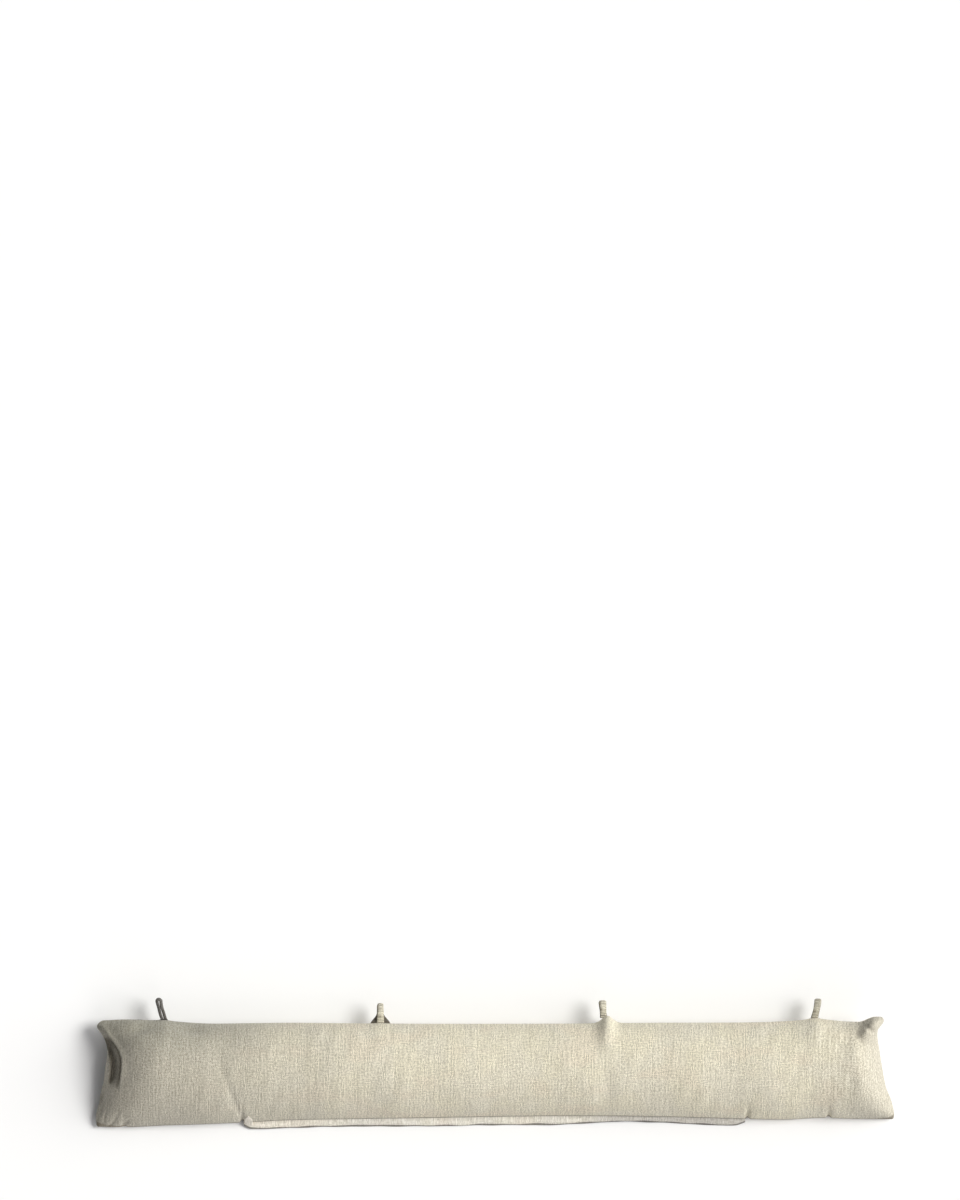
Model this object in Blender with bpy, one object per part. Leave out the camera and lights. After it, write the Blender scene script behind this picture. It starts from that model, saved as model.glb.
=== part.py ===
"""Draught excluder: a long filled linen cushion that lies on its back, with four tape loops in
its top seam and a closure flange along its bottom seam.  Metres, +Z up.

X runs along the cushion, +Y points to the seam with the loops, and the face looks up (+Z).
The cushion is one filled solid: a face panel and a back panel that meet in a seam all round.
"""
import math
from collections import namedtuple

import bmesh
import bpy
from mathutils import Vector

# ---------------------------------------------------------------- driving dimensions
LENGTH = 0.900            # ear tip to ear tip
SEAM_HIGH = 0.031         # height of the top seam above the surface, away from the corners
SEAM_LOW = 0.0065          # height of the bottom seam: the cushion is rolled a little towards it
CROWN = 0.0497            # rise of the face above the seams
SAG = 0.030               # depth of the back below the seams, before the surface flattens it
LEFT_CAP = 0.095          # length over which each end closes to its seam
RIGHT_CAP = 0.036
SIDE_POWER = 2.3          # fullness of a cross section; 2 is an ellipse
SIDE_ROOT = 0.56
END_ROOT = 0.60
END_REACH = 0.085         # how far from an end its drawn-in seam pulls on the cloth
MIDDLE_STEP = 0.020       # spacing of the cross sections along the middle
END_STEPS = 12            # cross sections in each end
LOOP_STEP = 0.0048        # spacing of the cross sections beside each loop
ACROSS = 16               # strips across each panel

TAPE_WIDTH = 0.0090
TAPE_THICK = 0.0022
TAPE_SLIT = 0.0004        # between the two strands where they are sewn in together
FLANGE_THICK = 0.0030     # the folded edges of both panels, pressed flat
GAP = 0.0003              # between pieces that touch

LINEN = (0.66, 0.60, 0.47, 1.0)
LINEN_TAPE = (0.60, 0.55, 0.43, 1.0)
LINEN_ROUGHNESS = 0.92

# ---------------------------------------------------------------- tables
# Outline of the seam along the cushion: its top and bottom edges.
Edge = namedtuple("Edge", "x top bottom")
EDGES = (
    Edge(-0.450, 0.0594, -0.0605),
    Edge(-0.415, 0.0608, -0.0610),
    Edge(-0.372, 0.0592, -0.0590),
    Edge(-0.325, 0.0562, -0.0575),
    Edge(-0.280, 0.0565, -0.0555),
    Edge(-0.230, 0.0570, -0.0530),
    Edge(-0.105, 0.0560, -0.0510),
    Edge(0.060, 0.0560, -0.0485),
    Edge(0.175, 0.0570, -0.0490),
    Edge(0.290, 0.0575, -0.0520),
    Edge(0.330, 0.0590, -0.0525),
    Edge(0.365, 0.0610, -0.0505),
    Edge(0.400, 0.0585, -0.0515),
    Edge(0.450, 0.0580, -0.0520),
)

# How far each end seam lies inside the ear tips, from the bottom corner (-1) to the top one (1).
EndPoint = namedtuple("EndPoint", "across inset")
LEFT_END = (
    EndPoint(-1.00, 0.0004),
    EndPoint(-0.77, 0.0000),
    EndPoint(-0.58, 0.0028),
    EndPoint(-0.32, 0.0056),
    EndPoint(-0.15, 0.0086),
    EndPoint(0.10, 0.0102),
    EndPoint(0.38, 0.0128),
    EndPoint(0.56, 0.0114),
    EndPoint(0.71, 0.0076),
    EndPoint(0.88, 0.0010),
    EndPoint(1.00, 0.0030),
)
RIGHT_END = (
    EndPoint(-1.00, 0.0010),
    EndPoint(-0.88, 0.0000),
    EndPoint(-0.60, 0.0035),
    EndPoint(-0.35, 0.0090),
    EndPoint(0.00, 0.0130),
    EndPoint(0.40, 0.0165),
    EndPoint(0.70, 0.0195),
    EndPoint(0.88, 0.0160),
    EndPoint(1.00, 0.0135),
)

# The four ears: how high each tip stands, how far it is pushed along +Y, how far that reaches,
# and the share of that reach that moves as one, which makes the tip blunt.
Ear = namedtuple("Ear", "side edge height push reach blunt")
EARS = (
    Ear(-1, 1, 0.024, 0.0000, 0.045, 0.10),
    Ear(-1, -1, 0.008, 0.0000, 0.045, 0.10),
    Ear(1, 1, 0.045, 0.0060, 0.034, 0.35),
    Ear(1, -1, 0.007, 0.0000, 0.050, 0.10),
)

# Soft troughs in the face: centre, half width along X and Y, and depth.
Trough = namedtuple("Trough", "x y across_x across_y depth")
TROUGHS = (
    Trough(-0.428, 0.010, 0.0055, 0.0190, 0.0090),     # fold beside the left end seam
    Trough(0.420, 0.049, 0.0050, 0.0080, 0.0070),      # tuck at the foot of the curled ear
    Trough(-0.305, -0.030, 0.0060, 0.0180, 0.0022),    # crease that runs to the flange's end
    Trough(-0.404, 0.047, 0.0140, 0.0070, 0.0020),     # hollows beside the first loop
    Trough(-0.338, 0.048, 0.0120, 0.0070, 0.0018),
    Trough(0.376, -0.042, 0.0090, 0.0120, 0.0020),     # dent near the right end of the bottom seam
)

# Hanging loops: place along the seam, height of the tip, lean of the tip along X,
# turn about the loop's own line, inner gap, and how far the loop tents the seam outwards.
Loop = namedtuple("Loop", "x tip lean turn gap tent")
LOOPS = (
    Loop(-0.3725, 0.0850, -0.0080, 90, 0.0036, 0.0012),
    Loop(-0.1295, 0.0790, 0.0005, 0, 0.0064, 0.0006),
    Loop(0.1220, 0.0823, -0.0010, 0, 0.0064, 0.0050),
    Loop(0.3605, 0.0842, 0.0040, 0, 0.0064, 0.0016),
)
TENT_WIDTH = 0.0085

# Closure flange: how far its free edge stands out of the bottom seam, and its rise there.
FlangePoint = namedtuple("FlangePoint", "x reach lift")
FLANGE = (
    FlangePoint(-0.2835, 0.0016, 0.0020),
    FlangePoint(-0.2745, 0.0062, 0.0010),
    FlangePoint(-0.2300, 0.0076, 0.0000),
    FlangePoint(-0.1600, 0.0070, -0.0015),
    FlangePoint(-0.0800, 0.0080, -0.0005),
    FlangePoint(0.0000, 0.0086, -0.0015),
    FlangePoint(0.0750, 0.0082, -0.0005),
    FlangePoint(0.1450, 0.0050, 0.0010),
    FlangePoint(0.1900, 0.0058, -0.0005),
    FlangePoint(0.2400, 0.0068, -0.0015),
    FlangePoint(0.2700, 0.0060, -0.0010),
    FlangePoint(0.2820, 0.0018, 0.0000),
)
FLANGE_DROOP = 0.0025     # the free edge hangs this much below the seam
FLANGE_STEPS = 56


# ---------------------------------------------------------------- small helpers
def smooth(t):
    """0 to 1 with level ends."""
    t = min(1.0, max(0.0, t))
    return t * t * (3 - 2 * t)


def column(table, key, value, at):
    """A smooth (Catmull-Rom) reading of one column of a table at a place along its key column."""
    keys = [getattr(row, key) for row in table]
    values = [getattr(row, value) for row in table]
    at = min(keys[-1], max(keys[0], at))
    i = max(k for k in range(len(keys) - 1) if keys[k] <= at or k == 0)

    def slope(k):
        a, b = max(0, k - 1), min(len(keys) - 1, k + 1)
        return (values[b] - values[a]) / (keys[b] - keys[a])

    span = keys[i + 1] - keys[i]
    t = (at - keys[i]) / span
    return (
        (2 * t**3 - 3 * t**2 + 1) * values[i]
        + (t**3 - 2 * t**2 + t) * span * slope(i)
        + (3 * t**2 - 2 * t**3) * values[i + 1]
        + (t**3 - t**2) * span * slope(i + 1)
    )


def bump(x, centre, half_width):
    return math.exp(-(((x - centre) / half_width) ** 2))


def top_edge(x):
    return column(EDGES, "x", "top", x) + sum(
        loop.tent * bump(x, loop.x, TENT_WIDTH) for loop in LOOPS
    )


def bottom_edge(x):
    return column(EDGES, "x", "bottom", x)


# ---------------------------------------------------------------- cushion
def stations():
    """Places of the cross sections along X: even in the middle, closer at the ends and the loops."""
    inner = LENGTH / 2 - END_REACH
    count = round(2 * inner / MIDDLE_STEP)
    middle = [-inner + 2 * inner * i / count for i in range(count + 1)]
    end = [inner + END_REACH * math.sin(math.pi / 2 * i / END_STEPS) for i in range(1, END_STEPS + 1)]
    spaced = [-x for x in reversed(end)] + middle + end
    near_loops = [loop.x + k * LOOP_STEP for loop in LOOPS for k in range(-3, 4)]
    clear = [x for x in spaced if all(abs(x - loop.x) > 3.6 * LOOP_STEP for loop in LOOPS)]
    return sorted(clear + near_loops)


def across_places():
    """Places across a panel from -1 to 1, closer together at the seams."""
    return [-math.cos(math.pi * j / ACROSS) for j in range(ACROSS + 1)]


def fullness(x, across):
    """Share of the full thickness: 0 on the seam all round, 1 along the middle."""
    side = max(0.0, 1 - abs(across) ** SIDE_POWER) ** SIDE_ROOT
    cap = LEFT_CAP if x < 0 else RIGHT_CAP
    past = max(0.0, (abs(x) - (LENGTH / 2 - cap)) / cap)
    return side * max(0.0, 1 - past**2) ** END_ROOT


def seam_point(x, across):
    """The place on the middle surface, on which both panels stand."""
    side = -1 if x < 0 else 1
    inset = column(LEFT_END if side < 0 else RIGHT_END, "across", "inset", across)
    pull = smooth(1 - (LENGTH / 2 - abs(x)) / END_REACH)
    height = SEAM_LOW + (SEAM_HIGH - SEAM_LOW) * (across + 1) / 2
    placed = Vector((
        x - side * inset * pull,
        bottom_edge(x) + (top_edge(x) - bottom_edge(x)) * (across + 1) / 2,
        height,
    ))
    for ear in EARS:
        away = math.hypot(x - ear.side * LENGTH / 2, (across - ear.edge) * 0.055)
        share = smooth((1 - away / ear.reach) / (1 - ear.blunt))
        placed.z += (ear.height - height) * share
        placed.y += ear.push * share
    return placed


def face_point(x, across):
    middle = seam_point(x, across)
    full = fullness(x, across)
    rise = CROWN * full
    for trough in TROUGHS:
        away = ((middle.x - trough.x) / trough.across_x) ** 2 + ((middle.y - trough.y) / trough.across_y) ** 2
        rise -= trough.depth * math.exp(-away) * min(1.0, 2.5 * full)
    return middle + Vector((0, 0, max(rise, 0.35 * CROWN * full)))


def back_point(x, across):
    middle = seam_point(x, across)
    return Vector((middle.x, middle.y, max(0.0, middle.z - SAG * fullness(x, across))))


def build_cover():
    """Face and back panels on one grid of places, sharing their edge points."""
    bm = bmesh.new()
    xs, rows = stations(), across_places()
    face = [[bm.verts.new(face_point(x, v)) for v in rows] for x in xs]
    back = [
        [
            face[i][j] if i in (0, len(xs) - 1) or j in (0, len(rows) - 1) else bm.verts.new(back_point(x, v))
            for j, v in enumerate(rows)
        ]
        for i, x in enumerate(xs)
    ]
    for i in range(len(xs) - 1):
        for j in range(len(rows) - 1):
            bm.faces.new((face[i][j], face[i + 1][j], face[i + 1][j + 1], face[i][j + 1]))
            bm.faces.new((back[i][j], back[i][j + 1], back[i + 1][j + 1], back[i + 1][j]))
    return finish_mesh("cover", bm)


# ---------------------------------------------------------------- swept strips
def sweep(name, rings):
    """A closed solid through rings of corner points, with flat ends."""
    bm = bmesh.new()
    made = [[bm.verts.new(point) for point in ring] for ring in rings]
    count = len(rings[0])
    for lower, upper in zip(made, made[1:]):
        for k in range(count):
            bm.faces.new((lower[k], lower[(k + 1) % count], upper[(k + 1) % count], upper[k]))
    bm.faces.new(list(reversed(made[0])))
    bm.faces.new(made[-1])
    return finish_mesh(name, bm)


def finish_mesh(name, bm):
    bmesh.ops.recalc_face_normals(bm, faces=bm.faces)
    mesh = bpy.data.meshes.new(name)
    bm.to_mesh(mesh)
    bm.free()
    mesh.shade_smooth()
    obj = bpy.data.objects.new(name, mesh)
    bpy.context.scene.collection.objects.link(obj)
    return obj


# ---------------------------------------------------------------- hanging loops
STRAND_STEPS = 11
BEND_STEPS = 8
OPENS_BY = 0.50           # share of the loop's height at which the strands have spread fully
TURNED_BY = 0.34          # share of the height by which a turned loop has its full turn
LEAN_POWER = 1.5          # a leaning loop bends mostly at its foot


def loop_path(height, gap):
    """Centre line of the tape as (spread, rise): up one strand, round the tip and down the other."""
    closed = (TAPE_SLIT + TAPE_THICK) / 2
    opened = (gap + TAPE_THICK) / 2
    straight = height - opened
    up = []
    for k in range(STRAND_STEPS + 1):
        rise = straight * k / STRAND_STEPS
        up.append((closed + (opened - closed) * smooth(rise / (OPENS_BY * height)), rise))
    bend = [
        (opened * math.cos(math.pi * k / BEND_STEPS), straight + opened * math.sin(math.pi * k / BEND_STEPS))
        for k in range(1, BEND_STEPS)
    ]
    return up + bend + [(-spread, rise) for spread, rise in reversed(up)]


def build_loop(number, loop):
    """Tape of a rectangular section, swept along its path, then leaned and turned."""
    half = TAPE_WIDTH / 2
    foot = max(top_edge(loop.x + half * k) for k in (-1, -0.5, 0, 0.5, 1)) + GAP
    height = loop.tip - foot - TAPE_THICK / 2
    path = loop_path(height, loop.gap)
    rings = []
    for k, (spread, rise) in enumerate(path):
        before, after = path[max(0, k - 1)], path[min(len(path) - 1, k + 1)]
        along = Vector((after[0] - before[0], after[1] - before[1])).normalized()
        out = Vector((along.y, -along.x)) * TAPE_THICK / 2
        turn = math.radians(loop.turn) * smooth(rise / (TURNED_BY * height))
        lean = loop.lean * (1 - max(0.0, 1 - rise / height) ** LEAN_POWER)
        ring = []
        for side, face in ((-half, 1), (half, 1), (half, -1), (-half, -1)):
            off, up = spread + face * out.x, max(0.0, rise + face * out.y)
            ring.append(Vector((
                loop.x + lean + side * math.cos(turn) - off * math.sin(turn),
                foot + up,
                SEAM_HIGH + side * math.sin(turn) + off * math.cos(turn),
            )))
        rings.append(ring)
    return sweep(f"hanging_loop_{number}", rings)


# ---------------------------------------------------------------- closure flange
def build_flange():
    """A pressed strip that stands out of the bottom seam, with a wavy free edge."""
    first, last = FLANGE[0].x, FLANGE[-1].x
    rings = []
    for k in range(FLANGE_STEPS + 1):
        x = first + (last - first) * k / FLANGE_STEPS
        reach = column(FLANGE, "x", "reach", x)
        inner_y = bottom_edge(x) - GAP
        outer_z = SEAM_LOW - FLANGE_DROOP + column(FLANGE, "x", "lift", x)
        half = FLANGE_THICK / 2
        rings.append([
            Vector((x, inner_y, SEAM_LOW - half)),
            Vector((x, inner_y - reach, outer_z - half)),
            Vector((x, inner_y - reach, outer_z + half)),
            Vector((x, inner_y, SEAM_LOW + half)),
        ])
    return sweep("closure_flange", rings)


# ---------------------------------------------------------------- materials and placing
def cloth_material(name, colour):
    material = bpy.data.materials.new(name)
    material.use_nodes = True
    shader = material.node_tree.nodes["Principled BSDF"]
    shader.inputs["Base Color"].default_value = colour
    shader.inputs["Roughness"].default_value = LINEN_ROUGHNESS
    shader.inputs["Metallic"].default_value = 0.0
    return material


def centre_on_origin(objects):
    """Puts the middle of the whole box over the origin; the underside already lies at zero height."""
    points = [vertex.co for obj in objects for vertex in obj.data.vertices]
    middle_x = (min(p.x for p in points) + max(p.x for p in points)) / 2
    middle_y = (min(p.y for p in points) + max(p.y for p in points)) / 2
    for obj in objects:
        obj.location = (-middle_x, -middle_y, 0)


def main():
    for obj in list(bpy.data.objects):
        bpy.data.objects.remove(obj)
    linen = cloth_material("linen", LINEN)
    tape = cloth_material("linen_tape", LINEN_TAPE)
    cover = build_cover()
    flange = build_flange()
    loops = [build_loop(number, loop) for number, loop in enumerate(LOOPS, start=1)]
    for obj in (cover, flange):
        obj.data.materials.append(linen)
    for obj in loops:
        obj.data.materials.append(tape)
    centre_on_origin([cover, flange, *loops])


main()
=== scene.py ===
"""The looks of the draught excluder: a filled linen cushion with tape loops and a closure lip.

Every shape is worked out in the cushion's own layout, in metres: x along it, y towards the seam
with the loops, z up from the surface that it lies on.  place() then moves a layout onto the frame.
"""
import math
from collections import namedtuple

import bpy
import numpy as np
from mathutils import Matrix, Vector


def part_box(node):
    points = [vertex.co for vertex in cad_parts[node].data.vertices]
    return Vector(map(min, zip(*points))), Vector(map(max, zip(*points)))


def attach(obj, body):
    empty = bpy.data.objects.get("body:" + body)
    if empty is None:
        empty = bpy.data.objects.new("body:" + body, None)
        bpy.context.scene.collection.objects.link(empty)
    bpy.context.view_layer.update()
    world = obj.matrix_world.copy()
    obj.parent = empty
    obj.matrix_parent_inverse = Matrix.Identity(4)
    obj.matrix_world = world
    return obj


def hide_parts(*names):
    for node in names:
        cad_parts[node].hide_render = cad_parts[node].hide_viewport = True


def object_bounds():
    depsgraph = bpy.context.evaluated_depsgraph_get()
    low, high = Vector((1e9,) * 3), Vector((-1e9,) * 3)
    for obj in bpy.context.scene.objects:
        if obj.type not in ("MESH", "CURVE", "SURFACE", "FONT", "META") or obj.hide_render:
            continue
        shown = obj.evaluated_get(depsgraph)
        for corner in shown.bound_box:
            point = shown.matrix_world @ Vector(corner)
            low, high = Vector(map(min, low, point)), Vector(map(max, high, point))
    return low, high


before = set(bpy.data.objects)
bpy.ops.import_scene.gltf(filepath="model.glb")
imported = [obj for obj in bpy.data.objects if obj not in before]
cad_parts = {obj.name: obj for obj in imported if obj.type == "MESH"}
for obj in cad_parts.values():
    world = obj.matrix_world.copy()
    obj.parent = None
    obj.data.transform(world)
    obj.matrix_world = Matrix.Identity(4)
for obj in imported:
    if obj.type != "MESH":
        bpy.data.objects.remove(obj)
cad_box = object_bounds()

# ================================================================ layout of the cushion
LENGTH = 0.900            # ear tip to ear tip
SEAM_HIGH = 0.031         # height of the top seam away from the corners
SEAM_LOW = 0.0065         # height of the bottom seam
CROWN = 0.0497            # rise of the face above the seams
SAG = 0.030               # depth of the back below the seams, before the surface flattens it
LEFT_CAP = 0.080          # length over which each end closes to its seam
RIGHT_CAP = 0.036
END_REACH = 0.085         # how far from an end its drawn-in seam pulls on the cloth
SIDE_POWER = 2.3          # fullness of a cross section; 2 is an ellipse
SIDE_ROOT = 0.56
END_ROOT = 0.60
TENT_WIDTH = 0.0085       # half width of the tent that a loop pulls in the seam
HALF_WIDTH = 0.055        # of the panels, nearly, for distances from a corner or a long seam
FACE_TOP = 0.0755         # the face is cut off at this height
LOWEST_SEAM = 0.002

# Outline of the seam along the cushion: its top and bottom edges.
Edge = namedtuple("Edge", "x top bottom")
EDGES = (
    Edge(-0.450, 0.0594, -0.0605),
    Edge(-0.415, 0.0608, -0.0610),
    Edge(-0.372, 0.0592, -0.0590),
    Edge(-0.325, 0.0562, -0.0575),
    Edge(-0.280, 0.0565, -0.0555),
    Edge(-0.230, 0.0570, -0.0530),
    Edge(-0.105, 0.0560, -0.0510),
    Edge(0.060, 0.0560, -0.0485),
    Edge(0.175, 0.0570, -0.0490),
    Edge(0.290, 0.0575, -0.0520),
    Edge(0.330, 0.0590, -0.0525),
    Edge(0.365, 0.0610, -0.0505),
    Edge(0.400, 0.0585, -0.0515),
    Edge(0.450, 0.0580, -0.0520),
)

# How far each end seam lies inside the ear tips, from the bottom corner (-1) to the top one (1).
EndPoint = namedtuple("EndPoint", "across inset")
LEFT_END = (
    EndPoint(-1.00, 0.0004),
    EndPoint(-0.77, 0.0000),
    EndPoint(-0.58, 0.0028),
    EndPoint(-0.32, 0.0056),
    EndPoint(-0.15, 0.0086),
    EndPoint(0.10, 0.0102),
    EndPoint(0.38, 0.0128),
    EndPoint(0.56, 0.0114),
    EndPoint(0.71, 0.0076),
    EndPoint(0.88, 0.0010),
    EndPoint(1.00, 0.0030),
)
RIGHT_END = (
    EndPoint(-1.00, 0.0010),
    EndPoint(-0.88, 0.0000),
    EndPoint(-0.60, 0.0035),
    EndPoint(-0.35, 0.0090),
    EndPoint(0.00, 0.0130),
    EndPoint(0.40, 0.0165),
    EndPoint(0.70, 0.0190),
    EndPoint(0.88, 0.0126),
    EndPoint(1.00, 0.0100),
)

# The four ears: how high each tip stands, how far it is pushed along y, how far that reaches,
# the share of that reach that moves as one, and the radius of its rounded corner.
Ear = namedtuple("Ear", "side edge height push reach blunt corner")
EARS = (
    Ear(-1, 1, 0.024, 0.0000, 0.045, 0.10, 0.0060),
    Ear(-1, -1, 0.008, 0.0000, 0.045, 0.10, 0.0026),
    Ear(1, 1, 0.048, 0.0060, 0.034, 0.35, 0.0068),
    Ear(1, -1, 0.007, 0.0000, 0.050, 0.10, 0.0016),
)

# Soft troughs (depth above 0) and ridges (below 0) in the face: centre, the direction that they
# run in, in degrees from x, half length, half width and depth.
Trough = namedtuple("Trough", "x y turn long wide depth")
TROUGHS = (
    Trough(-0.3000, -0.0180, -72, 0.0280, 0.0045, 0.0013),  # crease that runs to the lip's left end
    Trough(-0.2890, -0.0440, -75, 0.0080, 0.0022, 0.0011),
    Trough(-0.2849, -0.0562, 78, 0.0026, 0.0012, 0.0080),   # small hole beside the lip's left end
    Trough(-0.4040, 0.0490, 12, 0.0190, 0.0060, 0.0042),    # hollows beside the first loop
    Trough(-0.3440, 0.0500, -8, 0.0190, 0.0055, 0.0036),
    Trough(-0.3120, 0.0100, 80, 0.0300, 0.0080, 0.0008),
    Trough(0.3765, -0.0480, 80, 0.0050, 0.0022, 0.0020),    # dent near the right end of the bottom seam
    Trough(0.3600, -0.0400, 15, 0.0180, 0.0060, 0.0007),
    Trough(0.2850, -0.0470, 70, 0.0050, 0.0022, 0.0018),    # where the lip ends on the right
    Trough(-0.4290, -0.0520, 60, 0.0090, 0.0022, 0.0012),   # gathers in the lower left ear
    Trough(-0.4180, -0.0570, 30, 0.0070, 0.0020, 0.0014),
    Trough(0.1260, 0.0480, 90, 0.0140, 0.0080, -0.0004),    # ridges below the third and fourth loops
    Trough(0.3600, 0.0500, 90, 0.0120, 0.0080, -0.0004),
)

# Folds near the corners, which go through both panels.
FOLDS = (
    Trough(0.4206, 0.0510, -42, 0.0080, 0.0024, 0.0030),    # valley at the foot of the curled ear
    Trough(0.4300, 0.0530, 81, 0.0110, 0.0042, -0.0030),    # ridge of that ear
    Trough(-0.4430, -0.0290, 72, 0.0090, 0.0032, 0.0085),   # hollow above the lower left ear
    Trough(-0.4440, -0.0440, 62, 0.0045, 0.0012, 0.0020),   # gathers in that ear
    Trough(-0.4395, -0.0475, 74, 0.0060, 0.0011, 0.0016),
    Trough(-0.4345, -0.0585, 35, 0.0050, 0.0012, 0.0018),
    Trough(-0.4380, 0.0450, -55, 0.0100, 0.0040, -0.0030),  # the upper left ear's rounded flap
)

# Places where the outline is pinched inwards: the two ends of the lip and a stitch that draws in.
Pinch = namedtuple("Pinch", "x edge width depth")
PINCHES = (
    Pinch(-0.2852, -1, 0.0020, 0.0030),
    Pinch(0.2848, -1, 0.0022, 0.0018),
    Pinch(0.3757, -1, 0.0026, 0.0020),
    Pinch(-0.4180, -1, 0.0040, 0.0012),
)

# Hanging loops: place along the seam, height of the tip, lean of the tip along x, turn about the
# loop's own line, gap between the strands, tent in the seam, width of the tape, width of the back
# strand at its foot, how far the back strand stands to one side at the tip, the tape's thickness,
# the painted shade that lies over all of it, how far the tent's middle lies beside the loop, and
# the share of its width that it loses by its tip.
Loop = namedtuple("Loop", "x tip lean turn gap tent width flare aside thick shade beside taper")
LOOPS = (
    Loop(-0.3735, 0.0850, -0.0055, 90, 0.0005, 0.0012, 0.0088, 0.0090, 0.0000, 0.0036, 0.90, 0, 0),
    Loop(-0.1295, 0.0790, 0.0005, 0, 0.0064, 0.0006, 0.0082, 0.0225, -0.0012, 0.0020, 0.00, 0, 0.24),
    Loop(0.1220, 0.0823, -0.0004, 0, 0.0064, 0.0084, 0.0068, 0.0078, -0.0014, 0.0022, 0, 0.0045, -0.10),
    Loop(0.3600, 0.0842, 0.0036, 0, 0.0064, 0.0016, 0.0074, 0.0084, 0.0006, 0.0022, 0.30, 0, 0),
)

# Closure lip: how far its free edge stands out of the bottom seam, and its rise there.
LipPoint = namedtuple("LipPoint", "x reach lift")
LIP = (
    LipPoint(-0.2835, 0.0016, 0.0020),
    LipPoint(-0.2745, 0.0062, 0.0010),
    LipPoint(-0.2300, 0.0076, 0.0000),
    LipPoint(-0.1600, 0.0070, -0.0015),
    LipPoint(-0.0800, 0.0080, -0.0005),
    LipPoint(0.0000, 0.0086, -0.0015),
    LipPoint(0.0750, 0.0082, -0.0005),
    LipPoint(0.1450, 0.0050, 0.0010),
    LipPoint(0.1900, 0.0058, -0.0005),
    LipPoint(0.2400, 0.0068, -0.0015),
    LipPoint(0.2700, 0.0060, -0.0010),
    LipPoint(0.2820, 0.0018, 0.0000),
)

lip_low, lip_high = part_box("closure_flange")
tip_low, tip_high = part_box("hanging_loop_1")
ORIGIN = np.array([lip_high.x - LIP[-1].x, tip_high.y - LOOPS[0].tip, 0.0])


def place(points):
    """Moves points from the layout onto the frame."""
    return points + ORIGIN


# ================================================================ reading the tables
def smooth(t):
    """0 to 1 with level ends: 3t^2 - 2t^3, on t held between 0 and 1."""
    t = np.clip(t, 0, 1)
    return t * t * (3 - 2 * t)


def column(table, value, at):
    """A Catmull-Rom reading of one column of a table, at places along its first column."""
    keys = np.array([row[0] for row in table], float)
    values = np.array([getattr(row, value) for row in table], float)
    slopes = np.gradient(values, keys)
    slopes[1:-1] = (values[2:] - values[:-2]) / (keys[2:] - keys[:-2])
    at = np.clip(at, keys[0], keys[-1])
    i = np.clip(np.searchsorted(keys, at, side="right") - 1, 0, len(keys) - 2)
    span = keys[i + 1] - keys[i]
    t = (at - keys[i]) / span
    return (
        (2 * t**3 - 3 * t**2 + 1) * values[i]
        + (t**3 - 2 * t**2 + t) * span * slopes[i]
        + (3 * t**2 - 2 * t**3) * values[i + 1]
        + (t**3 - t**2) * span * slopes[i + 1]
    )


def bell(distance, half_width):
    """exp(-(distance / half_width)^2)"""
    return np.exp(-((distance / half_width) ** 2))


def top_edge(x):
    tents = sum(loop.tent * bell(x - loop.x - loop.beside, TENT_WIDTH) for loop in LOOPS)
    return column(EDGES, "top", x) + tents


def bottom_edge(x):
    return column(EDGES, "bottom", x)


def pinched(x, edge):
    """How far the outline is drawn inwards at places along one edge (1 is the top one)."""
    chosen = [pinch for pinch in PINCHES if pinch.edge == edge]
    return -edge * sum(pinch.depth * bell(x - pinch.x, pinch.width) for pinch in chosen)


def relief(table, x, y):
    """The summed depth of a table of troughs at places in the layout."""
    depth = np.zeros_like(x)
    for trough in table:
        turn = math.radians(trough.turn)
        along = (x - trough.x) * math.cos(turn) + (y - trough.y) * math.sin(turn)
        aside = (y - trough.y) * math.cos(turn) - (x - trough.x) * math.sin(turn)
        depth = depth + trough.depth * bell(along, trough.long) * bell(aside, trough.wide)
    return depth


WAVES = 9
WAVES_HEIGHT = 3.2        # what the sum of the waves seldom passes
FULL_TURN = 6.28


def uneven(x, y, wave, seed):
    """Smooth unevenness of about -1 to 1: a sum of sine waves with seeded directions and phases,
    about `wave` metres long."""
    rng = np.random.default_rng(seed)
    angles = rng.uniform(0, math.pi, WAVES)
    phases = rng.uniform(0, FULL_TURN, WAVES)
    shares = rng.uniform(0.6, 1.7, WAVES)
    total = np.zeros_like(x)
    for angle, phase, share in zip(angles, phases, shares):
        along = x * math.cos(angle) + y * math.sin(angle)
        total = total + np.sin(along * share * FULL_TURN / wave + phase)
    return total / WAVES_HEIGHT


# ================================================================ cover: the filled linen cushion
# Places where columns stand closer: x, half width, and how much closer.
CLOSER = ((-0.2815, 0.011, 2.6), (0.2850, 0.009, 1.6), (0.3757, 0.008, 1.4), (0.1220, 0.012, 0.7))


def cover_places(columns, rows):
    """The layout places (x, across) of a grid over one panel.  Columns are closer at the ends and
    beside small features; rows follow the sine of an even angle, and even out at the end seams."""
    line = np.linspace(-LENGTH / 2, LENGTH / 2, 6001)
    density = 1 + 1.6 * smooth((np.abs(line) - 0.395) / 0.020)
    for near, wide, more in CLOSER:
        density = density + more * bell(line - near, wide)
    walked = np.concatenate([[0], np.cumsum((density[1:] + density[:-1]) / 2)])
    x = np.interp(np.linspace(0, walked[-1], columns + 1), walked, line)[:, None]
    t = np.linspace(-1, 1, rows + 1)[None, :]
    at_end = smooth((np.abs(x) - (LENGTH / 2 - 0.03)) / 0.03)
    across = np.sin(t * math.pi / 2) * (1 - at_end) + t * at_end
    return x + 0 * across, across + 0 * x


def fullness(x, across):
    """Share of the full thickness: (1 - |across|^p)^q over the width, closing to 0 at both ends."""
    side = np.clip(1 - np.abs(across) ** SIDE_POWER, 0, 1) ** SIDE_ROOT
    cap = np.where(x < 0, LEFT_CAP, RIGHT_CAP)
    past = np.clip((np.abs(x) - (LENGTH / 2 - cap)) / cap, 0, 1)
    return side * (1 - past**2) ** END_ROOT


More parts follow.
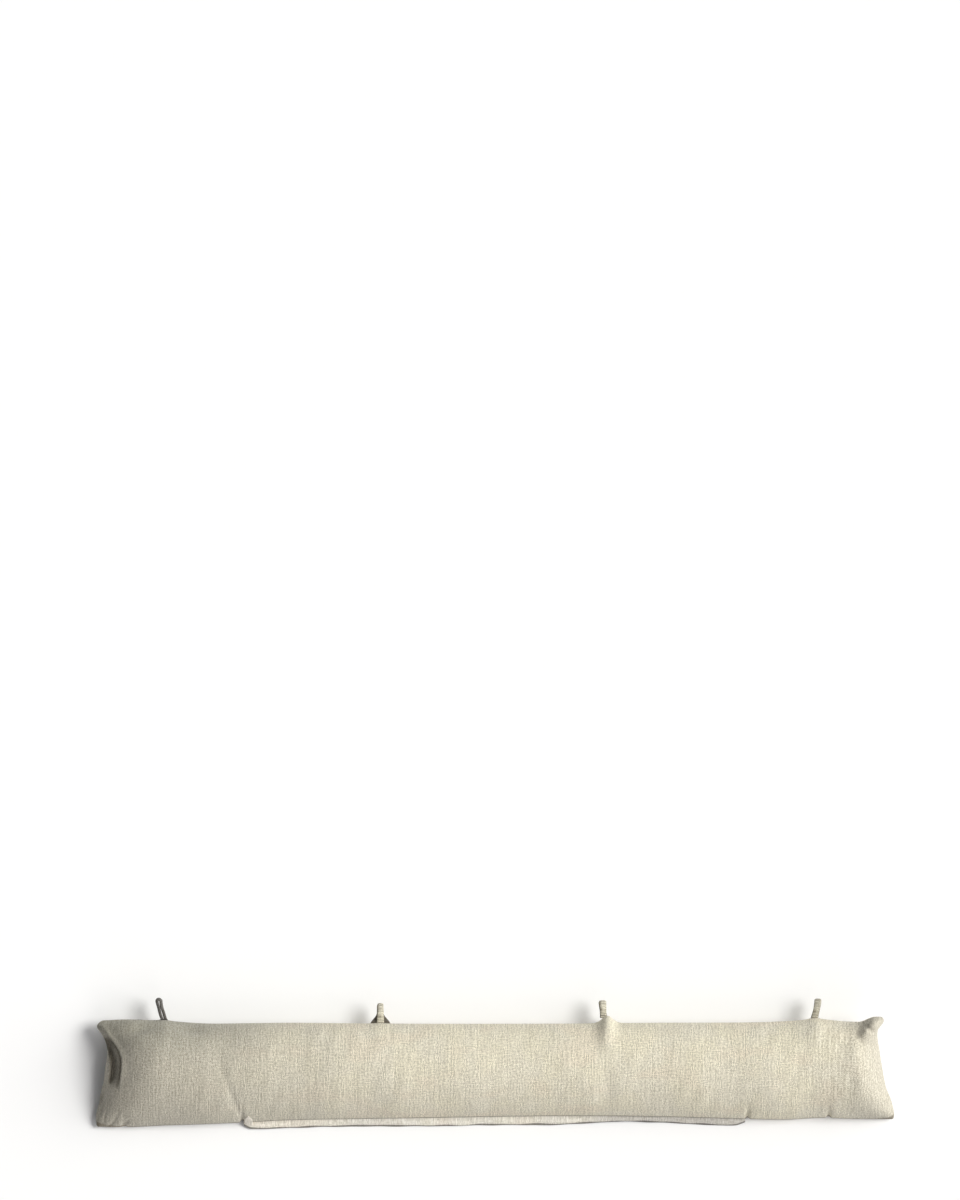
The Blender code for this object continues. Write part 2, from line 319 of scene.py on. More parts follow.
def round_corners(x, across):
    """Moves the places near each corner so that the corner of the panel becomes a quarter circle:
    within a square of side r, p and q become p sqrt(1 - q^2 / 2) and q sqrt(1 - p^2 / 2)."""
    for ear in EARS:
        r = ear.corner
        p = np.clip(1 - (LENGTH / 2 - ear.side * x) / r, 0, 1)
        q = np.clip(1 - (1 - ear.edge * across) * HALF_WIDTH / r, 0, 1)
        x = x - ear.side * r * p * (1 - np.sqrt(1 - q * q / 2))
        across = across - ear.edge * r / HALF_WIDTH * q * (1 - np.sqrt(1 - p * p / 2))
    return x, across


def seam_surface(x, across):
    """The middle surface that both panels stand on: the outline's tables, drawn in at the ends and
    lifted at the ears."""
    x, across = round_corners(x, across)
    inset = np.where(x < 0, column(LEFT_END, "inset", across), column(RIGHT_END, "inset", across))
    pull = smooth(1 - (LENGTH / 2 - np.abs(x)) / END_REACH)
    px = x - np.sign(x) * inset * pull
    low, high = bottom_edge(x), top_edge(x)
    py = low + (high - low) * (across + 1) / 2
    py = py + pinched(x, -1) * bell(across + 1, 0.25) + pinched(x, 1) * bell(across - 1, 0.25)
    level = SEAM_LOW + (SEAM_HIGH - SEAM_LOW) * (across + 1) / 2
    pz = level.copy()
    for ear in EARS:
        away = np.hypot(x - ear.side * LENGTH / 2, (across - ear.edge) * HALF_WIDTH)
        share = smooth((1 - away / ear.reach) / (1 - ear.blunt))
        pz = pz + (ear.height - level) * share
        py = py + ear.push * share
    pz = np.maximum(pz - relief(FOLDS, px, py), LOWEST_SEAM)
    return np.stack([px, py, pz], -1)


def cover_panels(x, across):
    """Points of the face and back panels before any crease: middle surface plus crown, minus sag."""
    full = fullness(x, across)
    middle = seam_surface(x, across)
    face, back = middle.copy(), middle.copy()
    face[..., 2] += CROWN * full
    back[..., 2] = np.maximum(0, back[..., 2] - SAG * full)
    return face, back


def panel_mesh(face, back):
    """Vertices and quads of two panels on one grid that share their border points."""
    columns, rows = face.shape[0] - 1, face.shape[1] - 1
    count = face.shape[0] * face.shape[1]
    face_ids = np.arange(count).reshape(face.shape[:2])
    inside = np.zeros(face.shape[:2], bool)
    inside[1:-1, 1:-1] = True
    back_ids = face_ids.copy()
    back_ids[inside] = count + np.arange(inside.sum())
    points = np.concatenate([face.reshape(-1, 3), back[inside]])

    def quads(ids):
        return np.stack([ids[:-1, :-1], ids[1:, :-1], ids[1:, 1:], ids[:-1, 1:]], -1).reshape(-1, 4)

    faces = np.concatenate([quads(face_ids), quads(back_ids)[:, ::-1]])
    assert len(faces) == 2 * columns * rows
    return points, faces, face_ids, back_ids


SIM_COLUMNS, SIM_ROWS = 150, 26
SIM_FRAMES = 24
SIM_PRESSURE = 0.9        # kPa
SIM_EXCESS = 0.07         # extra cloth where the panels are gathered
MOST_MOVE = 0.0045        # how far the settling may carry a point


def settle(face, back, gathered):
    """Lets the cloth settle: the panels are blown up with a light pressure, with extra cloth where
    `gathered` is near 1, and their seam is held.  Returns how far each point of both panels moved."""
    points, faces, face_ids, back_ids = panel_mesh(face, back)
    mesh = bpy.data.meshes.new("settling")
    mesh.from_pydata(points.tolist(), [], faces.tolist())
    cloth = bpy.data.objects.new("settling", mesh)
    bpy.context.scene.collection.objects.link(cloth)
    seam = cloth.vertex_groups.new(name="seam")
    extra = cloth.vertex_groups.new(name="extra")
    held = np.zeros(face.shape[:2])
    held[[0, -1], :] = 1
    held[:, [0, -1]] = 1
    holds, mores = held.ravel().tolist(), gathered.ravel().tolist()
    for ids in (face_ids, back_ids):
        for index, hold, more in zip(ids.ravel().tolist(), holds, mores):
            seam.add([index], hold, "REPLACE")
            extra.add([index], more, "REPLACE")
    modifier = cloth.modifiers.new("cloth", "CLOTH")
    settings = modifier.settings
    settings.quality = 7
    settings.mass = 0.06
    settings.tension_stiffness = 30
    settings.compression_stiffness = 14
    settings.shear_stiffness = 9
    settings.bending_stiffness = 0.25
    settings.air_damping = 2
    settings.use_pressure = True
    settings.uniform_pressure_force = SIM_PRESSURE
    settings.vertex_group_mass = "seam"
    settings.pin_stiffness = 2
    settings.vertex_group_shrink = "extra"
    settings.shrink_min = 0.0
    settings.shrink_max = -SIM_EXCESS
    settings.effector_weights.gravity = 0
    modifier.collision_settings.use_collision = False
    modifier.collision_settings.use_self_collision = False
    modifier.point_cache.frame_end = SIM_FRAMES
    for step in range(1, SIM_FRAMES + 1):
        bpy.context.scene.frame_set(step)
    graph = bpy.context.evaluated_depsgraph_get()
    settled = np.empty(len(points) * 3)
    cloth.evaluated_get(graph).data.vertices.foreach_get("co", settled)
    bpy.context.scene.frame_set(1)
    bpy.data.objects.remove(cloth)
    bpy.data.meshes.remove(mesh)
    move = settled.reshape(-1, 3) - points
    size = np.linalg.norm(move, axis=1, keepdims=True)
    move *= np.tanh(size / MOST_MOVE) * MOST_MOVE / np.maximum(size, 1e-9)
    return move[face_ids], move[back_ids]


def resample(field, columns, rows):
    """Reads a grid of vectors on a finer grid: Catmull-Rom weights along each side in turn."""
    def weights(coarse, fine):
        at = np.linspace(0, coarse, fine + 1)
        i = np.minimum(at.astype(int), coarse - 1)
        t = at - i
        table = np.zeros((fine + 1, coarse + 1))
        shares = (
            (-1, -0.5 * t + t**2 - 0.5 * t**3),
            (0, 1 - 2.5 * t**2 + 1.5 * t**3),
            (1, 0.5 * t + 2 * t**2 - 1.5 * t**3),
            (2, -0.5 * t**2 + 0.5 * t**3),
        )
        for step, share in shares:
            np.add.at(table, (np.arange(fine + 1), np.clip(i + step, 0, coarse)), share)
        return table

    return np.einsum(
        "ai,ijk,bj->abk", weights(field.shape[0] - 1, columns), field, weights(field.shape[1] - 1, rows)
    )


def gather_map(x, across):
    """Where the panels have extra cloth: beside the end seams, in the ears and at both ends of the lip."""
    to_end = LENGTH / 2 - np.abs(x)
    edge = (1 - np.abs(across)) * HALF_WIDTH
    corner = np.hypot(to_end, edge)
    ends = 0.75 * bell(to_end, 0.040)
    ears = 0.6 * bell(corner, 0.030)
    seams = 0.30 * bell(edge, 0.020)
    lip_ends = bell(np.hypot(x - LIP[0].x, edge), 0.022) + bell(np.hypot(x - LIP[-1].x, edge), 0.018)
    return np.clip(ends + ears + seams + 0.5 * lip_ends * (across < 0), 0, 1)


POCKET_X, POCKET_Y = -0.4185, 0.011     # where the bowed wall of the pocket stands furthest in
POCKET_DEPTH = 0.0140


def pocket_depth(x, y):
    """The pocket beside the left end seam: a steep wall along a bowed line, a floor that fades
    towards the seam, and grooves by the wall and in the floor.  Returns its depth, and how far the
    cloth at the top of the wall hangs over towards the seam."""
    bow = np.where(y > POCKET_Y, 17.0, 6.0) * (y - POCKET_Y) ** 2
    past = POCKET_X - bow - x
    along = smooth((0.0460 - y) / 0.0100) * smooth((y + 0.0200) / 0.0180)
    floor = POCKET_DEPTH * smooth(past / 0.0016) * smooth((0.0180 - past) / 0.0070)
    depth = floor + 0.0022 * bell(past - 0.0120, 0.0016) + 0.0026 * bell(past - 0.0022, 0.0016)
    return along * depth, 0.0026 * along * bell(past + 0.0004, 0.0022)


def outward(points):
    """Unit normals of a grid of points."""
    normal = np.cross(np.gradient(points, axis=0), np.gradient(points, axis=1))
    return normal / np.maximum(np.linalg.norm(normal, axis=-1, keepdims=True), 1e-12)


def crease_face(points, full):
    """Presses the troughs and ridges of the table and a slow unevenness into the face along its
    normals, and the pocket at the left end straight down, all less so where the cushion is thin."""
    x, y = points[..., 0], points[..., 1]
    body = smooth(full * 1.6)
    slow = 0.0007 * uneven(x, y, 0.11, 4) + 0.0002 * uneven(x, y, 0.035, 9)
    depth = relief(TROUGHS, x, y) + body * slow
    depth = depth * np.clip(full * 4.0, 0, 1)
    pocket, overhang = pocket_depth(x, y)
    points = points - outward(points) * depth[..., None]
    points[..., 2] -= pocket * np.clip(full * 5.0, 0, 1)
    points[..., 0] -= overhang
    return points


def pucker_seams(points, x, across, side):
    """Small gathers that run in from the long seams: a ripple of the height with an uneven pitch of
    about 8 mm, which fades 9 mm in from the seam."""
    edge = (1 - np.abs(across)) * HALF_WIDTH
    ripple = np.sin(x * 780 + 2.2 * uneven(x, across, 0.06, 21 + side) + 1.7 * np.sign(across))
    patchy = 0.55 + 0.45 * uneven(x, across, 0.12, 31 + side)
    points[..., 2] += 0.0005 * ripple * patchy * bell(edge - 0.003, 0.006)
    return points


def grid_lengths(points, x):
    """Cloth lengths over a grid.  Along the cushion: the mean distance walked over the rows, moved
    with each point, so that threads stay straight.  Across it: the distance walked up each column."""
    steps = np.linalg.norm(np.diff(points, axis=0), axis=-1).mean(axis=1)
    walked = np.concatenate([[0], np.cumsum(steps)])
    walked -= walked[len(walked) // 2]
    along = walked[:, None] + points[..., 0] - x
    across = np.zeros(points.shape[:2])
    across[:, 1:] = np.cumsum(np.linalg.norm(np.diff(points, axis=1), axis=-1), axis=1)
    return along, across


COVER_COLUMNS, COVER_ROWS = 560, 88


def build_cover():
    """Coarse panels are settled as cloth; their movement is read onto fine panels, which then take
    the creases, the puckers and a flat underside."""
    coarse = cover_places(SIM_COLUMNS, SIM_ROWS)
    fine_x, fine_across = cover_places(COVER_COLUMNS, COVER_ROWS)
    face, back = cover_panels(fine_x, fine_across)
    moves = settle(*cover_panels(*coarse), gather_map(*coarse))
    face += resample(moves[0], COVER_COLUMNS, COVER_ROWS)
    back += resample(moves[1], COVER_COLUMNS, COVER_ROWS)
    full = fullness(fine_x, fine_across)
    face = pucker_seams(crease_face(face, full), fine_x, fine_across, 0)
    back = pucker_seams(back, fine_x, fine_across, 1)
    for border in (np.s_[0, :], np.s_[-1, :], np.s_[:, 0], np.s_[:, -1]):
        back[border] = face[border]
    back[..., 2] = np.maximum(back[..., 2], 0.0)
    face[..., 2] = np.clip(face[..., 2], back[..., 2], FACE_TOP)
    points, faces, _, _ = panel_mesh(face, back)
    cover = make_piece("linen_cover", points, faces.tolist())
    spread_pattern(cover, face, back, fine_x)
    return cover


def spread_pattern(cover, face, back, x):
    """The cover's UV map in metres: lengths walked over each panel, the back panel beside the face."""
    corners = []
    for shift, grid, flip in ((0.0, face, 1), (0.3, back, -1)):
        along, across = grid_lengths(grid, x)
        flat = np.stack([along, across + shift], -1)
        quads = np.stack([flat[:-1, :-1], flat[1:, :-1], flat[1:, 1:], flat[:-1, 1:]], 2)
        corners.append(quads.reshape(-1, 4, 2)[:, ::flip])
    layer = cover.data.uv_layers.new(name="cloth")
    layer.data.foreach_set("uv", np.concatenate(corners).astype(np.float32).ravel())


# ================================================================ making pieces
def make_piece(name, points, faces):
    """A smooth mesh object at the origin, from points in the layout and a list of faces."""
    mesh = bpy.data.meshes.new(name)
    mesh.from_pydata(place(points).tolist(), [], faces)
    mesh.shade_smooth()
    mesh.update()
    piece = bpy.data.objects.new(name, mesh)
    bpy.context.scene.collection.objects.link(piece)
    return piece


def sweep(name, rings, along, around, shade=None):
    """A tube through rings of points, an array [ring, point, xyz], closed by a fan at each end.
    The UV map holds `along` each ring and `around` the section, in metres; the attribute `shade`
    holds how much painted shade each ring takes."""
    count, size = rings.shape[:2]
    ids = np.arange(count * size).reshape(count, size)
    turned = np.roll(ids, -1, axis=1)
    sides = np.stack([ids[:-1], turned[:-1], turned[1:], ids[1:]], -1).reshape(-1, 4)
    first, last = count * size, count * size + 1
    start = np.stack([turned[0], ids[0], np.full(size, first)], -1)
    end = np.stack([ids[-1], turned[-1], np.full(size, last)], -1)
    points = np.concatenate([rings.reshape(-1, 3), [rings[0].mean(0)], [rings[-1].mean(0)]])
    faces = sides.tolist() + start.tolist() + end.tolist()
    piece = make_piece(name, points, faces)
    mesh = piece.data
    shut = np.append(around, 2 * around[-1] - around[-2])
    flat = np.stack(np.broadcast_arrays(along[:, None], shut[None, :]), -1)
    quads = np.stack([flat[:-1, :-1], flat[:-1, 1:], flat[1:, 1:], flat[1:, :-1]], 2).reshape(-1, 2)
    caps = np.concatenate([
        np.repeat(np.stack([np.full(size, along[k]), around], -1), 3, axis=0) for k in (0, -1)
    ])
    layer = mesh.uv_layers.new(name="cloth")
    layer.data.foreach_set("uv", np.concatenate([quads, caps]).astype(np.float32).ravel())
    if shade is not None:
        values = np.concatenate([np.repeat(shade, size), [shade[0], shade[-1]]])
        attribute = mesh.attributes.new("shade", "FLOAT", "POINT")
        attribute.data.foreach_set("value", values.astype(np.float32))
    return piece


def flat_oval(points):
    """A unit section for tape, from -1 to 1 both ways: a superellipse of power 4."""
    angle = np.linspace(0, 2 * math.pi, points, endpoint=False)
    c, s = np.cos(angle), np.sin(angle)
    return np.sign(c) * np.abs(c) ** 0.5, np.sign(s) * np.abs(s) ** 0.5


# ================================================================ hanging loops
TAPE_SLIT = 0.0004        # between the two strands where they are sewn in together
OPENS_BY = 0.50           # share of the loop's height at which the strands have spread fully
TURNED_BY = 0.02          # share of the height by which a turned loop has its full turn
LEAN_POWER = 1.5
LOOP_FOOT = 0.0030        # how much tape is hidden in the seam
STRAND_POINTS, BEND_POINTS, SECTION_POINTS = 26, 18, 20


def loop_line(height, gap, thick):
    """Spread and rise of the tape's centre line: up one strand, round the tip and down the other.
    A strand starts inside the seam and spreads with a smooth step; the tip is half a circle."""
    closed = (TAPE_SLIT + thick) / 2
    opened = (gap + thick) / 2
    straight = height - opened
    rise = np.linspace(-LOOP_FOOT, straight, STRAND_POINTS)
    spread = closed + (opened - closed) * smooth(rise / (OPENS_BY * height))
    angle = np.linspace(0, math.pi, BEND_POINTS + 2)[1:-1]
    spread = np.concatenate([spread, opened * np.cos(angle), -spread[::-1]])
    rise = np.concatenate([rise, straight + opened * np.sin(angle), rise[::-1]])
    return spread, rise


def build_loop(number, loop):
    """Tape swept along the loop's line, leaned and turned; the back strand may flare at its foot."""
    foot = float(np.max(top_edge(loop.x + 0.0045 * np.linspace(-1, 1, 5)))) + 0.0003
    height = loop.tip - foot - loop.thick / 2
    spread, rise = loop_line(height, loop.gap, loop.thick)
    line = np.stack([spread, rise], -1)
    way = np.gradient(line, axis=0)
    way /= np.linalg.norm(way, axis=1, keepdims=True)
    out = np.stack([way[:, 1], -way[:, 0]], -1)
    walked = np.concatenate([[0], np.cumsum(np.linalg.norm(np.diff(line, axis=0), axis=1))])
    share = walked / walked[-1]
    turn = np.radians(loop.turn) * smooth(rise / (TURNED_BY * height))
    lean = loop.lean * (1 - np.clip(1 - rise / height, 0, 1) ** LEAN_POWER)
    lean = lean + loop.aside * smooth((share - 0.45) / 0.15) * smooth(rise / height)
    at_back_foot = smooth((share - 0.72) / 0.26)
    width = loop.width + (loop.flare - loop.width) * at_back_foot
    width = width * (1 - loop.taper * rise / height)
    wobble = 0.0004 * uneven(share * 0.05, np.full_like(share, number * 0.1), 0.02, 50 + number)
    side, face = flat_oval(SECTION_POINTS)
    cross = side[None, :] * width[:, None] / 2 * (1 - 0.03 * np.abs(face[None, :]))
    cupped = 0.0005 * (side[None, :] ** 2 - 0.5) * (share[:, None] * (1 - share[:, None]) * 4)
    off = face[None, :] * loop.thick / 2 - cupped
    depth = spread[:, None] + off * out[:, :1] + wobble[:, None]
    up = rise[:, None] + off * out[:, 1:]
    x = loop.x + lean[:, None] + cross * np.cos(turn)[:, None] - depth * np.sin(turn)[:, None]
    z = SEAM_HIGH + cross * np.sin(turn)[:, None] + depth * np.cos(turn)[:, None]
    rings = np.stack([x, foot + up, z], -1)
    around = np.linspace(0, 2 * loop.width, SECTION_POINTS, endpoint=False)
    # Painted shade: darker at both feet, over the back strand from just past the tip, and over all of the
    # loop by its share in the table.
    at_foot = 0.35 * bell(rise / height, 0.05)
    shade = np.maximum(np.maximum(smooth((share - 0.56) / 0.2), at_foot), loop.shade)
    piece = sweep(f"tape_loop_{number}", rings, walked, around, shade)
    return piece, walked[-1]


# ================================================================ closure lip
LIP_DROOP = 0.0028        # the free edge hangs this much below the seam
LIP_THICK = 0.0014        # of each folded edge
LIP_FOOT = 0.0025         # how much of the lip is hidden in the seam
LIP_STEPS = 290
LIP_SECTION = 24
LIP_AROUND = 2 * (LIP_FOOT + 0.008)
PEAK_LONG, PEAK_HIGH, PEAK_STEPS = 0.0125, 0.0052, 36
LIE_NEAR, LIE_BLUR, LIE_CLEAR = 0.006, 0.0008, 0.0012


def lie_on(cover, points, share):
    """Lifts points (in the layout) by a share from 0 to 1 so that they lie just over the cover.
    The cover's height is the mean of its own points nearby, each weighed by
    1 / (distance^2 + LIE_BLUR^2)^3, and they lie LIE_CLEAR above it."""
    ground = np.empty(len(cover.data.vertices) * 3, np.float32)
    cover.data.vertices.foreach_get("co", ground)
    ground = ground.reshape(-1, 3).astype(float)
    wanted = np.broadcast_to(share, points.shape[:2])
    chosen = wanted > 0.01
    if not chosen.any():
        return points
    spots = place(points[chosen])
    low, high = spots.min(axis=0) - LIE_NEAR, spots.max(axis=0) + LIE_NEAR
    near = np.all((ground[:, :2] > low[:2]) & (ground[:, :2] < high[:2]), axis=1)
    ground = ground[near & (ground[:, 2] > SEAM_LOW)]
    apart = ((spots[:, None, :2] - ground[None, :, :2]) ** 2).sum(axis=-1)
    weight = 1 / (apart + LIE_BLUR**2) ** 3
    height = (weight * ground[None, :, 2]).sum(axis=1) / weight.sum(axis=1)
    lifted = points.copy()
    over = height + LIE_CLEAR - lifted[chosen, 2]
    lifted[chosen, 2] += np.maximum(over, 0.0) * wanted[chosen]
    return lifted


def build_lip(name, layer, shorter, seed, cover):
    """One folded edge: a flat oval section swept along x, from inside the seam to a wavy free edge
    that rolls downwards.  `layer` is 1 for the face panel's edge and -1 for the back panel's.
    The face panel's edge ends in a small peak that lies on the cover."""
    start = np.linspace(LIP[0].x, LIP[0].x + PEAK_LONG, PEAK_STEPS, endpoint=False)
    x = np.concatenate([start, np.linspace(LIP[0].x + PEAK_LONG, LIP[-1].x, LIP_STEPS + 1)])
    reach = column(LIP, "reach", x) - shorter + 0.0005 * uneven(x, 0 * x, 0.05, seed)
    reach = np.maximum(reach, 0.0012)
    lift = column(LIP, "lift", x) + 0.0004 * uneven(x, 0 * x + 1, 0.03, seed + 1)
    inner = bottom_edge(x)
    half_peak = PEAK_LONG * 0.42
    peak = np.clip(1 - np.abs(x - LIP[0].x - half_peak) / half_peak, 0, 1) * (layer > 0)
    side, face = flat_oval(LIP_SECTION)
    across = (1 - side[None, :]) / 2
    width = LIP_FOOT + reach[:, None] + PEAK_HIGH * peak[:, None]
    y = inner[:, None] - reach[:, None] + (1 - across) * width
    free = np.clip((inner[:, None] - y) / np.maximum(reach[:, None], 1e-6), 0, 1)
    z = SEAM_LOW + layer * (LIP_THICK / 2 + 0.0001) + (lift[:, None] - LIP_DROOP) * free
    z = z - 0.0010 * free**4 + 0.0003 * layer * free
    z = np.maximum(z, LIP_THICK * (0.5 if layer < 0 else 1.6))
    middle = np.stack(np.broadcast_arrays(x[:, None], y, z), -1)
    middle = lie_on(cover, middle, smooth(peak[:, None] * 6) * smooth(1 - free * 1.6))
    rings = middle + face[None, :, None] * LIP_THICK / 2 * np.array([0, 0, 1])
    around = np.linspace(0, LIP_AROUND, LIP_SECTION, endpoint=False)
    return sweep(name, rings[:, ::-1], x - x[0], around)


# ================================================================ finishes
class Socket:
    """An output socket.  Arithmetic on it adds Math nodes to its finish."""

    def __init__(self, finish, output):
        self.finish = finish
        self.output = output

    def __add__(self, other):
        return self.finish.math("ADD", self, other)

    def __sub__(self, other):
        return self.finish.math("SUBTRACT", self, other)

    def __rsub__(self, other):
        return self.finish.math("SUBTRACT", other, self)

    def __mul__(self, other):
        return self.finish.math("MULTIPLY", self, other)

    def __truediv__(self, other):
        return self.finish.math("DIVIDE", self, other)

    __radd__ = __add__
    __rmul__ = __mul__


class Finish:
    """A material and its node tree."""

    def __init__(self, name):
        self.material = bpy.data.materials.new(name)
        self.material.use_nodes = True
        self.tree = self.material.node_tree
        self.shader = self.tree.nodes["Principled BSDF"]

    def node(self, kind, settings=None, inputs=None, output=0):
        """Adds one node: its settings first, then the values or links of its sockets."""
        made = self.tree.nodes.new(kind)
        for key, value in (settings or {}).items():
            setattr(made, key, value)
        for key, value in (inputs or {}).items():
            self.feed(made.inputs[key], value)
        return Socket(self, made.outputs[output])

    def feed(self, socket, value):
        if isinstance(value, Socket):
            self.tree.links.new(value.output, socket)
        else:
            socket.default_value = value

    def math(self, operation, a, b=0.0, clamp=False):
        return self.node("ShaderNodeMath", {"operation": operation, "use_clamp": clamp}, {0: a, 1: b})

    def blend(self, factor, a, b, kind="MIX"):
        """Mixes two colours."""
        settings = {"data_type": "RGBA", "blend_type": kind}
        return self.node("ShaderNodeMix", settings, {"Factor": factor, 6: a, 7: b}, 2)

    def ramp(self, value, low, high):
        """0 at low, 1 at high, smooth between them."""
        settings = {"interpolation_type": "SMOOTHSTEP"}
        inputs = {"Value": value, "From Min": low, "From Max": high}
        return self.node("ShaderNodeMapRange", settings, inputs)

    def threads(self, index, along, offset):
        """One drifting tone for each thread: noise read along lines that are far apart."""
        point = self.node("ShaderNodeCombineXYZ", None, {0: index * 7.37 + offset, 1: along + offset})
        settings = {"noise_dimensions": "2D"}
        return self.node("ShaderNodeTexNoise", settings, {"Vector": point, "Scale": 1.0, "Detail": 1.0})

    def streaks(self, u, v, across, along, detail=1.0, offset=0.0):
        """Noise stretched into streaks, `across` metres wide and `along` metres long."""
        point = self.node("ShaderNodeCombineXYZ", None, {0: u / across + offset, 1: v / along + offset})
        settings = {"noise_dimensions": "2D"}
        return self.node("ShaderNodeTexNoise", settings, {"Vector": point, "Scale": 1.0, "Detail": detail})

    def chance(self, a, b, c):
        """White noise of three numbers, from 0 to 1."""
        point = self.node("ShaderNodeCombineXYZ", None, {0: a, 1: b, 2: c})
        return self.node("ShaderNodeTexWhiteNoise", {"noise_dimensions": "3D"}, {"Vector": point})

    def dashes(self, index, along, length, offset):
        """Lengths of tone along each thread less those of the next thread, from -1 to 1, so that
        light and dark threads stay mixed."""
        tones = []
        for thread in (index, index + 1.0):
            start = self.chance(thread, offset, 0.5)
            row = self.math("FLOOR", along / length + start * 9.0)
            tones.append(self.chance(thread, row, offset))
        return tones[0] - tones[1]


THREAD = 0.00122          # pitch of the weave
SWAY = 0.0008             # how far the threads wander to one side
# Painted shade of the cloth: it is darker and cooler towards both ends (the lips' right third takes
# this too), and on the cover also in its upper left corner; a painted shadow lies in a band along
# the cover's bottom seam, and LOOP_SHADE is the painted shade of the loops.
LEFT_END_PAINTED_SHADE = (0.63, 0.63, 0.65, 1)
RIGHT_END_PAINTED_SHADE = (0.76, 0.76, 0.78, 1)
CORNER_PAINTED_SHADE = (0.50, 0.51, 0.52, 1)
SEAM_PAINTED_SHADOW = (0.36, 0.34, 0.32, 1)
LOOP_SHADE = (0.060, 0.052, 0.040, 1)


def linen(name, pale, dark, contrast=1.0, shaded=False, panel=False):
    """Plain-weave linen.  Every warp and weft thread has its own tone that drifts along it; a
    checker decides which thread is on top; slubs, specks and a slow drift of hue lie over that.
    `shaded` reads the pieces' attribute of painted shade, and `panel` adds the cover's painted shade
    in its upper left corner and the painted shadow along its bottom seam.  All pieces take painted
    shade towards both ends."""
    cloth = Finish(name)
    uv = cloth.node("ShaderNodeUVMap", {"uv_map": "cloth"})
    split = cloth.node("ShaderNodeSeparateXYZ", None, {0: uv})
    u, v = split, Socket(cloth, split.output.node.outputs[1])
    sway = cloth.streaks(u, v, 0.018, 0.012, 1.0, 8.0)
    u = u + (sway - 0.5) * SWAY
    v = v + (cloth.streaks(u, v, 0.012, 0.018, 1.0, 19.0) - 0.5) * SWAY
    warp_place, weft_place = u / THREAD, v / THREAD
    warp_index, weft_index = cloth.math("FLOOR", warp_place), cloth.math("FLOOR", weft_place)
    warp = cloth.threads(warp_index, v / 0.0110, 0.0)
    slub = cloth.threads(warp_index, v / 0.0290, 40.0)
    weft_slub = cloth.threads(weft_index, u / 0.0240, 120.0)
    wave = cloth.math("SINE", warp_place * math.pi) * cloth.math("SINE", weft_place * math.pi)
    on_top = cloth.ramp(wave, -0.25, 0.25)
    warp_bright = cloth.ramp(slub, 0.60, 0.72)
    weft_bright = cloth.ramp(weft_slub, 0.64, 0.74)
    dashes = cloth.dashes(warp_index, v, 0.0450, 1.5) * 0.24
    dashes = dashes + cloth.dashes(warp_index, v, 0.0080, 2.5) * 0.20
    dashes = dashes + cloth.dashes(warp_index, v, 0.0022, 3.5) * 0.44
    weft_dashes = cloth.dashes(weft_index, u, 0.0042, 4.5) * 0.34
    threads = (warp - 0.5) * 0.4 + (on_top - 0.5) * 0.10 + warp_bright * 0.16 + weft_bright * 0.12
    tone = dashes + weft_dashes + threads
    tone = cloth.math("ADD", tone * contrast, 0.48, clamp=True)
    colour = cloth.blend(tone, dark, pale)
    speck = cloth.streaks(u, v, 0.0010, 0.0012, 0.0, 91.0)
    fleck = cloth.ramp(speck, 0.66, 0.76)
    colour = cloth.blend(fleck * 0.40, colour, tuple(0.60 * c for c in dark[:3]) + (1.0,))
    drift = cloth.streaks(u, v, 0.040, 0.050, 2.0, 3.0)
    hue = cloth.blend(cloth.ramp(drift, 0.32, 0.68), (1.0, 1.0, 0.975, 1), (0.995, 1.0, 1.01, 1))
    rosy = cloth.streaks(u, v, 0.060, 0.035, 1.0, 71.0)
    hue = cloth.blend(cloth.ramp(rosy, 0.50, 0.72) * 0.7, hue, (1.01, 0.975, 0.96, 1))
    # Painted shade towards both ends of every piece whose u reaches there.
    hue = cloth.blend(1.0 - cloth.ramp(u, -0.48, -0.04), hue, LEFT_END_PAINTED_SHADE)
    hue = cloth.blend(cloth.ramp(u, 0.370, 0.425), hue, RIGHT_END_PAINTED_SHADE)
    if panel:
        # Painted shade in the cover's upper left corner.
        corner = (1.0 - cloth.ramp(u, -0.40, -0.20)) * cloth.ramp(v, 0.095, 0.150)
        hue = cloth.blend(corner, hue, CORNER_PAINTED_SHADE)
        # Painted shadow in a band along the cover's bottom seam.
        hue = cloth.blend(1.0 - cloth.ramp(v, 0.0050, 0.0085), hue, SEAM_PAINTED_SHADOW)
    colour = cloth.blend(1.0, colour, hue, "MULTIPLY")
    if shaded:
        # Painted shade of the loops, as much as their attribute asks.
        shade = cloth.node("ShaderNodeAttribute", {"attribute_name": "shade"}, None, 2)
        colour = cloth.blend(shade * 0.88, colour, LOOP_SHADE)
    round_warp = cloth.math("ABSOLUTE", cloth.math("SINE", warp_place * math.pi))
    round_weft = cloth.math("ABSOLUTE", cloth.math("SINE", weft_place * math.pi))
    height = wave * 0.35 + round_warp * 0.4 + round_weft * 0.3
    height = height + warp_bright * 0.5 + dashes * 0.6 + speck * 0.4
    bump = cloth.node("ShaderNodeBump", None, {"Strength": 0.8, "Distance": 0.00035, "Height": height})
    cloth.feed(cloth.shader.inputs["Base Color"], colour)
    cloth.feed(cloth.shader.inputs["Normal"], bump)
    cloth.feed(cloth.shader.inputs["Roughness"], 0.95 - tone * 0.12)
    cloth.shader.inputs["Specular IOR Level"].default_value = 0.2
    cloth.shader.inputs["Sheen Weight"].default_value = 0.12
    cloth.shader.inputs["Sheen Roughness"].default_value = 0.6
    return cloth.material


def plain(name, colour, roughness):
    finish = Finish(name)
    finish.shader.inputs["Base Color"].default_value = colour
    finish.shader.inputs["Roughness"].default_value = roughness
    finish.shader.inputs["Specular IOR Level"].default_value = 0.1
    return finish.material


# ================================================================ floor, light and camera
FRAME_HEIGHT = 1.3536     # of the picture, at the object
ASIDE_X, ASIDE_Y = -0.0170, 0.5221      # from the middle of the object to that of the picture
CAMERA_LENS = 1500        # long, because the picture is nearly flat
FLOOR_HALF = 60.0


